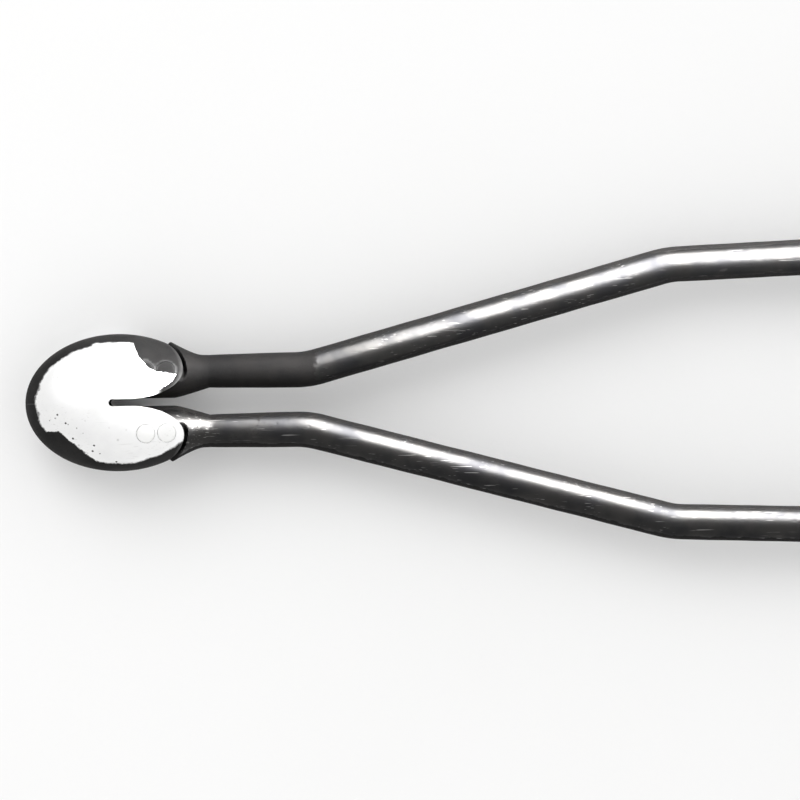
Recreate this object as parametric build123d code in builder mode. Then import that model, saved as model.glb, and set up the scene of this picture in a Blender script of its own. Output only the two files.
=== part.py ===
"""Crucible tongs: a hollow spring bow, two round-rod arms and two riveted jaw bands.

The tongs lie flat as they do on a bench. +X runs from the bow to the jaws, +Y to the
rear arm and +Z up. The origin is on the bench, below the middle of the overall length.
All sizes are in millimetres.
"""
import os
from math import cos, radians, sin, sqrt

from build123d import *

# Overall
OVERALL_LENGTH = 508.0

# Spring bow: a flattened hollow bulb, slit from the arms' side to its middle
BOW_HALF_LENGTH = 24.6
BOW_HALF_WIDTH = 18.1
BOW_HALF_HEIGHT = 13.0
BOW_WALL = 1.7
SLIT_WIDTH = 1.9
SLIT_END_X = -2.4  # the slit's rounded end, from the bow's centre
TONGUE_START_X = 2.45  # where each half starts to round off into a tongue
TONGUE_LENGTH = 14.75
TONGUE_MID_Y = 8.5
TONGUE_INNER_WIDTH = 7.6
TONGUE_OUTER_WIDTH = 10.0
FIT = 0.12  # clearance between the bow and everything inside it

# Arms: round rod, swelled at the root and flattened at the jaw end
ROOT_DIAMETER = 8.6
ROD_DIAMETER = 9.4
ROOT_GAP = 2.0  # between the two roots' facing flats, at rest
ROOT_BACK_X = 3.0
ROD_START_X = 24.0
ROD_FULL_X = 44.0
ROD_MID_Y = 7.85
FIRST_BEND = (49.9, 7.85)
SECOND_BEND = (145.5, 33.9)
END_SPREAD = 2.1  # degrees that the straight ends still open out
BEND_RADIUS = 24.0
# Root sections from the rod back into the bow: x, near side y, far side y, half height
ROOT_SECTIONS = [
    (21.4, 2.75, 12.35, 4.9),
    (18.7, 1.95, 13.35, 6.1),
    (16.1, 1.25, 14.65, 7.5),
    (13.5, 0.80, 16.00, 8.9),
    (8.0, 0.20, 17.40, 10.6),
    (1.0, -0.40, 18.40, 12.2),
]

# Jaw pads, and the jaw bands riveted to them
PAD_THICKNESS = 5.4
PAD_HEIGHT = 14.0
PAD_LENGTH = 42.0
PAD_TAPER = 22.0
JAW_THICKNESS = 3.0
JAW_HEIGHT = 2 * BOW_HALF_HEIGHT
JAW_FLAT = 23.0
JAW_WING_RADIUS = 26.0  # inside radius of each wing
JAW_WING_TURN = 60.0
JAW_EDGE = 0.8

# Rivets
BOW_RIVET_RADIUS = 1.9
BOW_RIVET_HEAD_RADIUS = 2.9
BOW_RIVET_HEAD_DEPTH = 1.2
BOW_RIVETS = [(7.2, 8.3), (12.7, 8.2)]
JAW_RIVET_RADIUS = 2.0
JAW_RIVET_HEAD_RADIUS = 3.7
JAW_RIVET_HEAD_HEIGHT = 1.9
JAW_RIVET_SINK = 1.3
JAW_RIVET_FLARE = 1.2
JAW_RIVET_SPACING = 13.0

# Worked out from the driving dimensions
BOW_X = BOW_HALF_LENGTH - OVERALL_LENGTH / 2
MID_Z = BOW_HALF_HEIGHT
END_TURN = radians(END_SPREAD)
WING_MIDDLE = JAW_WING_RADIUS + JAW_THICKNESS / 2
WING_ALONG = JAW_FLAT / 2 + WING_MIDDLE * sin(radians(JAW_WING_TURN))
WING_ACROSS = PAD_THICKNESS / 2 + JAW_THICKNESS / 2 + WING_MIDDLE * (1 - cos(radians(JAW_WING_TURN)))
JAW_REACH = WING_ALONG * cos(END_TURN) + WING_ACROSS * sin(END_TURN) + JAW_THICKNESS / 2
JAW_X = OVERALL_LENGTH / 2 - JAW_REACH - BOW_X
JAW_ALONG = (JAW_X - SECOND_BEND[0]) / cos(END_TURN)
JAW_MID = -(PAD_THICKNESS + JAW_THICKNESS) / 2  # the band's middle, inwards of the rod's axis
PAD_START = JAW_ALONG - PAD_LENGTH / 2 - 2.0
SEAT = Location((BOW_X, 0, MID_Z))  # the bow's centre
END_PLANE = Plane(
    origin=(BOW_X + SECOND_BEND[0], SECOND_BEND[1], MID_Z),
    x_dir=(cos(END_TURN), sin(END_TURN), 0),
    z_dir=(0, 0, 1),
)  # along the rear arm's straight end: x along the rod, y outwards


def end_section(along):
    """Plane across the rear arm's straight end, at a distance past its second bend."""
    centre = END_PLANE.from_local_coords((along, 0, 0))
    return Plane(origin=centre, x_dir=END_PLANE.y_dir, z_dir=END_PLANE.x_dir)


def ellipsoid(shrink):
    """Solid bulb in the bow's place, this much smaller than the bow all round."""
    length = BOW_HALF_LENGTH - shrink
    width = BOW_HALF_WIDTH - shrink
    height = BOW_HALF_HEIGHT - shrink
    with BuildPart() as bulb:
        with BuildSketch():
            Ellipse(length, width)
            split(bisect_by=Plane.XZ, keep=Keep.BOTTOM)
        revolve(axis=Axis.X)
        scale(by=(1, 1, height / width))
    return bulb.part.moved(SEAT)


def bow_outline(clearance):
    """Plan of the slit bow with its two tongues, grown by a clearance, as a tall solid."""
    back = BOW_HALF_LENGTH + TONGUE_START_X + 1
    with BuildPart() as plan:
        with BuildSketch():
            with Locations((TONGUE_START_X, 0)):
                Rectangle(back, 2 * BOW_HALF_WIDTH + 4, align=(Align.MAX, Align.CENTER))
            for side in (1, -1):
                centre = (TONGUE_START_X, side * TONGUE_MID_Y)
                reach = TONGUE_LENGTH + clearance
                inner = TONGUE_INNER_WIDTH + clearance
                outer = TONGUE_OUTER_WIDTH + clearance
                with BuildLine():
                    near = EllipticalCenterArc(
                        centre, reach, inner, start_angle=-90 * side, arc_size=90 * side
                    )
                    far = EllipticalCenterArc(
                        centre, reach, outer, start_angle=0, arc_size=90 * side
                    )
                    Line(far @ 1, near @ 0)
                make_face()
            slit_length = TONGUE_START_X - SLIT_END_X + 8
            slit_width = SLIT_WIDTH - 2 * clearance
            with Locations((SLIT_END_X + clearance + slit_width / 2, 0)):
                Rectangle(slit_length, slit_width, align=(Align.MIN, Align.CENTER), mode=Mode.SUBTRACT)
                Circle(slit_width / 2, mode=Mode.SUBTRACT)
        extrude(amount=2 * BOW_HALF_HEIGHT, both=True)
    return plan.part.moved(SEAT)


def bow_rivet(place, play):
    """Through rivet with two countersunk heads, grown by a play, before it is dressed."""
    height = BOW_HALF_HEIGHT * sqrt(
        1 - (place[0] / BOW_HALF_LENGTH) ** 2 - (place[1] / BOW_HALF_WIDTH) ** 2
    )
    low = height - BOW_RIVET_HEAD_DEPTH
    shank = BOW_RIVET_RADIUS + play
    head = BOW_RIVET_HEAD_RADIUS + play
    with BuildPart() as rivet:
        with BuildSketch(Plane.XZ):
            with BuildLine():
                Polyline(
                    (0, 0), (shank, 0), (shank, low), (head, height), (head, height + 4),
                    (0, height + 4), close=True,
                )
            make_face()
        revolve(axis=Axis.Z)
        mirror(about=Plane.XY)
    return rivet.part.moved(SEAT * Location((place[0], place[1], 0)))


def jaw_rivet(offset):
    """Button-headed rivet through a pad and its band, sunk flush on the gripping side."""
    back = PAD_THICKNESS / 2
    front = -back - JAW_THICKNESS
    with BuildPart() as rivet:
        with BuildSketch():
            with BuildLine():
                crown = back + JAW_RIVET_HEAD_HEIGHT
                Polyline(
                    (0, crown), (0, front), (JAW_RIVET_RADIUS + JAW_RIVET_FLARE, front),
                    (JAW_RIVET_RADIUS, front + JAW_RIVET_SINK), (JAW_RIVET_RADIUS, back),
                    (JAW_RIVET_HEAD_RADIUS, back), (JAW_RIVET_HEAD_RADIUS, crown), close=True,
                )
            make_face()
        revolve(axis=Axis.Y)
        fillet(rivet.edges().sort_by(Axis.Y)[-1], JAW_RIVET_HEAD_HEIGHT * 0.8)
    along = JAW_ALONG + offset
    return rivet.part.moved(END_PLANE.location * Location((along, 0, 0)))


def on_side(part, side):
    """The part itself for the rear arm, its mirror image for the front arm."""
    return part if side > 0 else part.mirror(Plane.XZ)


# Spring bow
BULB = ellipsoid(0)
with BuildPart() as spring_bow:
    add(BULB)
    add(ellipsoid(BOW_WALL), mode=Mode.SUBTRACT)
    add(bow_outline(0), mode=Mode.INTERSECT)
    for place in BOW_RIVETS:
        for side in (1, -1):
            add(bow_rivet((place[0], side * place[1]), FIT), mode=Mode.SUBTRACT)

# Rear arm: the root that fills its half of the bow, the bent rod, then the jaw pad
TONGUE_POCKET = bow_outline(2 * FIT) - ellipsoid(BOW_WALL + FIT)
with BuildPart() as rear_arm:
    for x, near, far, half_height in [(ROD_START_X, None, None, None), *ROOT_SECTIONS]:
        with BuildSketch(Plane.YZ.offset(BOW_X + x)):
            if near is None:
                with Locations((ROD_MID_Y, MID_Z)):
                    Circle(ROOT_DIAMETER / 2)
            else:
                with Locations(((near + far) / 2, MID_Z)):
                    Ellipse((far - near) / 2, half_height)
    loft()
    add(TONGUE_POCKET, mode=Mode.SUBTRACT)
    with Locations((BOW_X + ROD_START_X, ROOT_GAP / 2, MID_Z)):
        Box(3 * BOW_HALF_LENGTH, 30, 60, align=(Align.MAX, Align.MAX, Align.CENTER), mode=Mode.SUBTRACT)
    with Locations((BOW_X + ROOT_BACK_X, 0, MID_Z)):
        Box(30, 60, 60, align=(Align.MAX, Align.CENTER, Align.CENTER), mode=Mode.SUBTRACT)
    for place in BOW_RIVETS:
        add(bow_rivet(place, 0), mode=Mode.SUBTRACT)
    for x, diameter in ((ROD_START_X, ROOT_DIAMETER), (ROD_FULL_X, ROD_DIAMETER)):
        with BuildSketch(Plane.YZ.offset(BOW_X + x)):
            with Locations((ROD_MID_Y, MID_Z)):
                Circle(diameter / 2)
    loft()
    with BuildLine() as route:
        FilletPolyline(
            (BOW_X + ROD_FULL_X, ROD_MID_Y, MID_Z),
            (BOW_X + FIRST_BEND[0], FIRST_BEND[1], MID_Z),
            (BOW_X + SECOND_BEND[0], SECOND_BEND[1], MID_Z),
            END_PLANE.from_local_coords((PAD_START - PAD_TAPER, 0, 0)),
            radius=BEND_RADIUS,
        )
    with BuildSketch(Plane.YZ.offset(BOW_X + ROD_FULL_X)):
        with Locations((ROD_MID_Y, MID_Z)):
            Circle(ROD_DIAMETER / 2)
    sweep(path=route.line)
    with BuildSketch(end_section(PAD_START - PAD_TAPER)):
        Circle(ROD_DIAMETER / 2)
    with BuildSketch(end_section(PAD_START)):
        RectangleRounded(PAD_THICKNESS, PAD_HEIGHT, PAD_THICKNESS * 0.42)
    loft()
    with BuildSketch(end_section(PAD_START)):
        RectangleRounded(PAD_THICKNESS, PAD_HEIGHT, PAD_THICKNESS * 0.42)
    extrude(amount=PAD_LENGTH)
    for side in (-1, 1):
        add(jaw_rivet(side * JAW_RIVET_SPACING / 2), mode=Mode.SUBTRACT)

# Rear jaw band: a flat back on the pad and two wings that curve round the crucible
with BuildPart() as rear_jaw:
    with BuildSketch(END_PLANE.offset(-MID_Z)):
        with BuildLine():
            flat = Line((JAW_ALONG - JAW_FLAT / 2, JAW_MID), (JAW_ALONG + JAW_FLAT / 2, JAW_MID))
            JernArc(flat @ 1, (1, 0), WING_MIDDLE, -JAW_WING_TURN)
            JernArc(flat @ 0, (-1, 0), WING_MIDDLE, JAW_WING_TURN)
            offset(amount=JAW_THICKNESS / 2, side=Side.BOTH, mode=Mode.REPLACE)
        make_face()
    extrude(amount=JAW_HEIGHT)
    rims = rear_jaw.faces().filter_by(Axis.Z).edges()
    chamfer(rims, JAW_EDGE)
    for side in (-1, 1):
        add(jaw_rivet(side * JAW_RIVET_SPACING / 2), mode=Mode.SUBTRACT)

# Every piece in its place; the front arm's pieces are the rear arm's mirrored
PIECES = {"spring_bow": spring_bow.part}
for name, side in (("rear", 1), ("front", -1)):
    PIECES[f"{name}_arm"] = on_side(rear_arm.part, side)
    PIECES[f"{name}_jaw"] = on_side(rear_jaw.part, side)
    for number, place in enumerate(BOW_RIVETS, start=1):
        dressed = bow_rivet(place, 0) & BULB
        PIECES[f"{name}_bow_rivet_{number}"] = on_side(dressed, side)
    for number, offset_sign in enumerate((-1, 1), start=1):
        rivet = jaw_rivet(offset_sign * JAW_RIVET_SPACING / 2)
        PIECES[f"{name}_jaw_rivet_{number}"] = on_side(rivet, side)

os.makedirs("parts", exist_ok=True)
for name, piece in PIECES.items():
    piece.label = name
    export_step(piece, f"parts/{name}.step")
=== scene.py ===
"""Looks of the spring-bow crucible tongs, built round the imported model.

Shaping is done in millimetres from the bow's centre (x along the tongs towards the jaws,
y towards the rear arm, z up from the arms' mid-plane) and put in place in the row frame
at the end. The rear half is modelled, and the front half is its mirror image.
"""

import logging
from dataclasses import dataclass, field
from enum import Enum
from math import acos, asin, atan2, cos, degrees, hypot, pi, radians, sin, sqrt, tan
from typing import Callable, Optional, Sequence

import bpy
from mathutils import Matrix, Vector

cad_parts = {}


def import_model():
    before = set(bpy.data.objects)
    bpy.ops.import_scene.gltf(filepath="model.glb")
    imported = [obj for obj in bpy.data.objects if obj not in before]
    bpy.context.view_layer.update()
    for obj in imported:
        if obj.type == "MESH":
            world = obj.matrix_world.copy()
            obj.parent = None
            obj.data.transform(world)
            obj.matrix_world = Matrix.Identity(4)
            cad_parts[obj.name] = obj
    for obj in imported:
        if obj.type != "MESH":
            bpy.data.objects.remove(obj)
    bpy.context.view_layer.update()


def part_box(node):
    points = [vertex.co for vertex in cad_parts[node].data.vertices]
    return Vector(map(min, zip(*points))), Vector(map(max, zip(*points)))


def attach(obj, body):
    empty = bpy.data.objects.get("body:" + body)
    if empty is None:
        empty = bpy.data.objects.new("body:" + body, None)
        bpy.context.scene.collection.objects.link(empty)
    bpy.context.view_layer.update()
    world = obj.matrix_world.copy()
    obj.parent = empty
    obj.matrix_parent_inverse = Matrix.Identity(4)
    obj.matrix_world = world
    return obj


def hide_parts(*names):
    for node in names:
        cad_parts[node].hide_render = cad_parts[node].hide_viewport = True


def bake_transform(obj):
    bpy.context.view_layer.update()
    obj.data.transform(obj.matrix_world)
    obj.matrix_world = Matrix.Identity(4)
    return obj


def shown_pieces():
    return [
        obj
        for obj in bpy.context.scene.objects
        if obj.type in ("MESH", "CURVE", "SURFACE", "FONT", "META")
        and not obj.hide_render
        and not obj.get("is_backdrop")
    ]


LOG = logging.getLogger("crucible_tongs")
MM = 0.001

Point = tuple[float, float, float]


class Side(Enum):
    """The two halves of the tongs; the value is the sign of y."""

    REAR = 1
    FRONT = -1

    @property
    def word(self) -> str:
        """Name used in nodes and pieces."""
        return self.name.lower()

    @property
    def body(self) -> str:
        """CAD body that this half's pieces ride on."""
        return f"{self.word}_half"


# ---------------------------------------------------------------------------
# Bench: small helpers round the modelling operators
# ---------------------------------------------------------------------------


class Bench:
    """Operators in the order a person would use them, with nothing left selected."""

    @staticmethod
    def clear() -> None:
        """Leaves edit mode and deselects every object."""
        if bpy.context.object is not None and bpy.context.object.mode != "OBJECT":
            bpy.ops.object.mode_set(mode="OBJECT")
        bpy.ops.object.select_all(action="DESELECT")

    @staticmethod
    def take(piece: bpy.types.Object) -> bpy.types.Object:
        """Makes one object the only selected and active one.

        Args:
            piece: The object to work on.

        Returns:
            The same object.
        """
        Bench.clear()
        piece.select_set(True)
        bpy.context.view_layer.objects.active = piece
        return piece

    @staticmethod
    def added(name: str) -> bpy.types.Object:
        """Names the primitive that was just added.

        Args:
            name: Name for the object and its mesh.

        Returns:
            The new object.
        """
        piece = bpy.context.active_object
        piece.name = name
        piece.data.name = name
        return piece

    @staticmethod
    def edit(mode: str = "VERT") -> None:
        """Enters edit mode with everything deselected.

        Args:
            mode: VERT, EDGE or FACE selection.
        """
        bpy.ops.object.mode_set(mode="EDIT")
        bpy.ops.mesh.select_mode(type=mode)
        bpy.ops.mesh.select_all(action="DESELECT")

    @staticmethod
    def done() -> None:
        """Returns to object mode."""
        bpy.ops.object.mode_set(mode="OBJECT")

    @staticmethod
    def pick_faces(piece: bpy.types.Object, wanted: Callable[[bpy.types.MeshPolygon], bool]) -> int:
        """Selects faces by a test on their place or normal.

        Args:
            piece: The object in edit mode.
            wanted: Test that is true for the faces to select.

        Returns:
            How many faces are selected.
        """
        Bench.done()
        for vertex in piece.data.vertices:
            vertex.select = False
        for edge in piece.data.edges:
            edge.select = False
        count = 0
        for face in piece.data.polygons:
            face.select = wanted(face)
            count += face.select
        bpy.ops.object.mode_set(mode="EDIT")
        bpy.ops.mesh.select_mode(type="FACE")
        return count

    @staticmethod
    def pick_edges(piece: bpy.types.Object, wanted: Callable[[Vector, Vector], bool]) -> int:
        """Selects edges by a test on their two ends.

        Args:
            piece: The object in edit mode.
            wanted: Test on the two end points, in the object's units.

        Returns:
            How many edges are selected.
        """
        Bench.done()
        points = piece.data.vertices
        for face in piece.data.polygons:
            face.select = False
        for vertex in points:
            vertex.select = False
        count = 0
        for edge in piece.data.edges:
            first, second = (points[index].co for index in edge.vertices)
            edge.select = wanted(first, second)
            count += edge.select
        bpy.ops.object.mode_set(mode="EDIT")
        bpy.ops.mesh.select_mode(type="EDGE")
        return count

    @staticmethod
    def apply(piece: bpy.types.Object, kind: str, name: str, **settings: object) -> None:
        """Adds one modifier, sets it and applies it.

        Args:
            piece: The object that is modified.
            kind: Modifier type.
            name: Modifier name.
            settings: Modifier properties.
        """
        Bench.take(piece)
        modifier = piece.modifiers.new(name, kind)
        for key, value in settings.items():
            setattr(modifier, key, value)
        bpy.ops.object.modifier_apply(modifier=name)

    @staticmethod
    def place(piece: bpy.types.Object, matrix: Matrix) -> None:
        """Moves a mesh by a matrix, leaving its object at the origin.

        Args:
            piece: The object whose mesh is placed.
            matrix: The placing, from the mesh's own units to the row frame.
        """
        piece.data.transform(matrix)
        piece.matrix_world = Matrix.Identity(4)
        piece.data.update()

    @staticmethod
    def apply_place(piece: bpy.types.Object) -> None:
        """Moves a new primitive's place, turn and size into its mesh."""
        Bench.take(piece)
        bpy.ops.object.transform_apply(location=True, rotation=True, scale=True)

    @staticmethod
    def face_outwards(piece: bpy.types.Object) -> None:
        """Merges doubles and makes a closed mesh's normals point outwards.

        Args:
            piece: The closed mesh object.
        """
        Bench.take(piece)
        Bench.edit()
        bpy.ops.mesh.select_all(action="SELECT")
        bpy.ops.mesh.remove_doubles(threshold=1e-4)
        bpy.ops.mesh.normals_make_consistent(inside=False)
        Bench.done()

    @staticmethod
    def tidy(piece: bpy.types.Object) -> None:
        """Takes out faces with no area.

        Args:
            piece: The object to tidy, in mm.
        """
        Bench.take(piece)
        Bench.edit()
        bpy.ops.mesh.select_all(action="SELECT")
        bpy.ops.mesh.remove_doubles(threshold=4e-3)
        bpy.ops.mesh.dissolve_degenerate(threshold=2e-3)
        Bench.done()

    @staticmethod
    def smooth(piece: bpy.types.Object, angle: float) -> None:
        """Shades smooth except across sharp edges.

        Args:
            piece: The object to shade.
            angle: Sharpest angle that is still smooth, in degrees.
        """
        Bench.take(piece)
        bpy.ops.object.shade_smooth_by_angle(angle=radians(angle))

    @staticmethod
    def mirrored(piece: bpy.types.Object, name: str) -> bpy.types.Object:
        """Copies a piece to the other half, with its own mesh.

        Args:
            piece: The rear half's piece.
            name: Name of the copy.

        Returns:
            The front half's piece.
        """
        Bench.take(piece)
        bpy.ops.object.duplicate()
        copy = Bench.added(name)
        copy.data.transform(Matrix.Scale(-1, 4, (0, 1, 0)))
        Bench.edit()
        bpy.ops.mesh.select_all(action="SELECT")
        bpy.ops.mesh.flip_normals()
        Bench.done()
        return copy


def smoothstep(value: float) -> float:
    """Cubic ease from 0 at 0 to 1 at 1."""
    clamped = min(1.0, max(0.0, value))
    return clamped * clamped * (3 - 2 * clamped)


# ---------------------------------------------------------------------------
# Shapes
# ---------------------------------------------------------------------------


@dataclass(frozen=True)
class Bulb:
    """The bow's outer shape: an ellipsoid about the bow's centre."""

    half_length: float = 24.6
    half_width: float = 18.1
    half_height: float = 13.0

    def point(self, along: float, around: float) -> Point:
        """Point on the bulb.

        Args:
            along: Angle from the back pole, in radians.
            around: Angle from the top over the rear side, in radians.

        Returns:
            The point, in mm.
        """
        ring = sin(along)
        return (
            -self.half_length * cos(along),
            self.half_width * sin(around) * ring,
            self.half_height * cos(around) * ring,
        )

    def height(self, x: float, y: float) -> float:
        """Height of the outer surface above the mid-plane at a place in plan."""
        share = 1 - (x / self.half_length) ** 2 - (y / self.half_width) ** 2
        return self.half_height * sqrt(max(0.0, share))

    def shrunk(self, amount: float) -> "Bulb":
        """The same bulb, smaller by an amount all round."""
        return Bulb(self.half_length - amount, self.half_width - amount, self.half_height - amount)


@dataclass(frozen=True)
class Tongue:
    """Plan outline of one half of the bow, from the slit's end round the tongue."""

    slit_end: float = -2.4
    slit_half_width: float = 0.95
    start: float = 2.45
    length: float = 14.75
    middle: float = 8.5
    inner: float = 7.6
    outer: float = 10.0
    shoulder: float = 12.0

    def inner_y(self, x: float) -> float:
        """Where the half begins beside the slit, 0 behind it."""
        slit = self.slit_half_width
        if x <= self.slit_end:
            return 0.0
        if x < self.slit_end + slit:
            return sqrt(max(0.0, slit**2 - (self.slit_end + slit - x) ** 2))
        across = sqrt(max(0.0, 1 - (max(0.0, x - self.start) / self.length) ** 2))
        return max(slit, self.middle - self.inner * across)

    def end_points(self, bulb: Bulb, step: float) -> list[tuple[float, float]]:
        """Points of the front edge in plan, from the shoulder round the tip to the bulb's outline.

        Args:
            bulb: The bulb that the tongue belongs to.
            step: Spacing of the points, in mm.

        Returns:
            The points as (x, y), in mm.
        """
        points: list[tuple[float, float]] = []
        first = asin((self.shoulder - self.start) / self.length)
        turns = int(2.0 * self.length / step)
        for number in range(turns + 1):
            angle = first + (pi - first) * number / turns
            x = self.start + self.length * sin(angle)
            y = self.middle - (self.inner if angle < pi / 2 else self.outer) * cos(angle)
            if (x / bulb.half_length) ** 2 + (y / bulb.half_width) ** 2 >= 0.9995:
                break
            points.append((x, y))
        x = points[-1][0] - 0.35 * step
        points.append((x, bulb.half_width * sqrt(1 - (x / bulb.half_length) ** 2)))
        return points

    def outside(self, x: float, y: float, clearance: float) -> float:
        """How far a place in plan lies outside the outline grown by a clearance, in mm."""
        if x <= self.start:
            return -1.0
        reach = self.length + clearance
        across = (self.inner if y < self.middle else self.outer) + clearance
        ratio = hypot((x - self.start) / reach, (y - self.middle) / across)
        return (ratio - 1) * across


@dataclass
class SpringBow:
    """The hollow bow, pressed as two half shells that meet on the mid-plane behind the slit.
    """

    bulb: Bulb = field(default_factory=Bulb)
    tongue: Tongue = field(default_factory=Tongue)
    wall: float = 1.7
    rim_round: float = 0.38
    outline_step: float = 0.42
    back_rows: int = 40
    wall_rows: int = 26
    rivet_places: tuple[tuple[float, float], ...] = ((7.2, 8.3), (12.7, 8.2))
    rivet_hole: float = 2.48
    bend_start: float = -2.0
    bend_end: float = 9.0

    def angle_at(self, x: float) -> float:
        """Angle from the back pole at a place along the tongs."""
        return acos(-x / self.bulb.half_length)

    def around_at(self, along: float, y: float) -> float:
        """Angle round the bulb from its top at which it has a given y."""
        return asin(min(1.0, y / (self.bulb.half_width * sin(along)))) if along > 0 else 0.0

    def rows(self) -> list[float]:
        """Angles from the back pole of the rows beside the seam and the slit."""
        slit_end, slit = self.tongue.slit_end, self.tongue.slit_half_width
        back, wall = self.angle_at(slit_end), self.angle_at(slit_end + slit)
        shoulder = self.angle_at(self.tongue.shoulder)
        rows = [back * number / self.back_rows for number in range(self.back_rows)]
        rows += [self.angle_at(slit_end + slit * (1 - cos(turn))) for turn in (0, 0.35, 0.7, 1.1)]
        rows += [wall + (shoulder - wall) * number / self.wall_rows for number in range(self.wall_rows + 1)]
        return rows

    def lines(self) -> list[list[tuple[float, float]]]:
        """Points of each line from the back pole to the front edge, as (angle round, angle along)."""
        rows = self.rows()
        wall = self.angle_at(self.tongue.slit_end + self.tongue.slit_half_width)
        top = []
        for x, y in self.tongue.end_points(self.bulb, self.outline_step):
            end = self.angle_at(x)
            base = self.around_at(end, self.tongue.inner_y(self.tongue.shoulder))
            share = max(0.0, (self.around_at(end, y) - base) / (pi / 2 - base))
            line = []
            for row in rows:
                # all lines keep level up to the slit's wall, then each runs to its own end
                past = max(0.0, row - wall)
                along = min(row, wall) + past * (end - wall) / (rows[-1] - wall)
                place = -self.bulb.half_length * cos(along)
                beside = -self.bulb.half_length * cos(row)
                inner = self.around_at(along, self.tongue.inner_y(beside))
                # lines crowd towards the seam, so that the halves meet without a crease
                crowd = 1 + 0.35 * smoothstep((-3.2 - place) / 3) * smoothstep((place + 23.5) / 3)
                line.append((inner + (pi / 2 - inner) * share**crowd, along))
            top.append(line)
        return top + [[(pi - around, along) for around, along in line] for line in reversed(top[:-1])]

    def press(self) -> bpy.types.Object:
        """Presses a flat sheet into the rear half's outer surface.

        Returns:
            An open shell in mm about the bow's centre.
        """
        lines = self.lines()
        last_line, last_row = len(lines) - 1, len(lines[0]) - 1
        Bench.clear()
        bpy.ops.mesh.primitive_grid_add(
            x_subdivisions=last_row, y_subdivisions=last_line, size=1, location=(0, 0, 0)
        )
        sheet = Bench.added("rear_bow_half")
        for vertex in sheet.data.vertices:
            line = lines[round((vertex.co.y + 0.5) * last_line)]
            around, along = line[round((vertex.co.x + 0.5) * last_row)]
            vertex.co = Vector(self.bulb.point(along, around))
        Bench.take(sheet)
        Bench.edit()
        bpy.ops.mesh.select_all(action="SELECT")
        bpy.ops.mesh.remove_doubles(threshold=1e-5)
        Bench.done()
        face = sheet.data.polygons[len(sheet.data.polygons) // 2]
        if face.normal.dot(face.center) < 0:
            Bench.edit()
            bpy.ops.mesh.select_all(action="SELECT")
            bpy.ops.mesh.flip_normals()
            Bench.done()
        return sheet

    def thicken(self, sheet: bpy.types.Object) -> None:
        """Gives the shell its wall and rounds the slit's and the tongues' edges."""
        Bench.apply(sheet, "SOLIDIFY", "wall", thickness=self.wall, offset=-1)
        for vertex in sheet.data.vertices:
            if vertex.co.x < self.tongue.slit_end and abs(vertex.co.y) < 0.012:
                vertex.co.y = 0.0
        sharp = self.sharp_edges(sheet)
        Bench.pick_edges(sheet, lambda first, second: False)
        Bench.done()
        for edge in sheet.data.edges:
            edge.select = edge.index in sharp
        bpy.ops.object.mode_set(mode="EDIT")
        bpy.ops.mesh.bevel(offset=self.rim_round, segments=3, profile=0.5, clamp_overlap=True)
        Bench.done()
        Bench.tidy(sheet)

    def sharp_edges(self, sheet: bpy.types.Object) -> set[int]:
        """Edges between the wall's rim and its two faces, but not those on the seam."""
        faces_by_edge: dict[tuple[int, int], list[bpy.types.MeshPolygon]] = {}
        for face in sheet.data.polygons:
            for key in face.edge_keys:
                faces_by_edge.setdefault(key, []).append(face)
        sharp = set()
        for edge in sheet.data.edges:
            sides = faces_by_edge.get(edge.key, [])
            ends = [sheet.data.vertices[index].co for index in edge.vertices]
            on_seam = all(abs(end.y) < 1e-4 for end in ends)
            if len(sides) == 2 and not on_seam and sides[0].normal.angle(sides[1].normal, 0) > radians(50):
                sharp.add(edge.index)
        return sharp

    def drill(self, shell: bpy.types.Object) -> None:
        """Cuts the rivet holes through both tongues of the half."""
        for number, (x, y) in enumerate(self.rivet_places):
            Bench.clear()
            bpy.ops.mesh.primitive_cylinder_add(
                vertices=40, radius=self.rivet_hole, depth=4 * self.bulb.half_height, location=(x, y, 0)
            )
            drill = Bench.added(f"drill_{number}")
            Bench.apply(shell, "BOOLEAN", "hole", operation="DIFFERENCE", object=drill, solver="EXACT")
            bpy.data.objects.remove(drill)
        Bench.tidy(shell)

    def build(self, shop: "Workshop") -> list[bpy.types.Object]:
        """Makes both halves.

        Args:
            shop: Places pieces in the row frame.

        Returns:
            The two half shells.
        """
        rear = self.press()
        self.thicken(rear)
        self.drill(rear)
        Bench.smooth(rear, 42)
        front = Bench.mirrored(rear, "front_bow_half")
        start, end = shop.spot((self.bend_start, 0, 0)), shop.spot((self.bend_end, 0, 0))
        for piece, side in ((rear, Side.REAR), (front, Side.FRONT)):
            shop.settle(piece)
            piece.data.materials.clear()
            piece.data.materials.append(shop.finishes["spring_steel"])
            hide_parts("spring_bow")
            side.body
            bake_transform(piece)
            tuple(start)
            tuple(end)
        return [rear, front]


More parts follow.
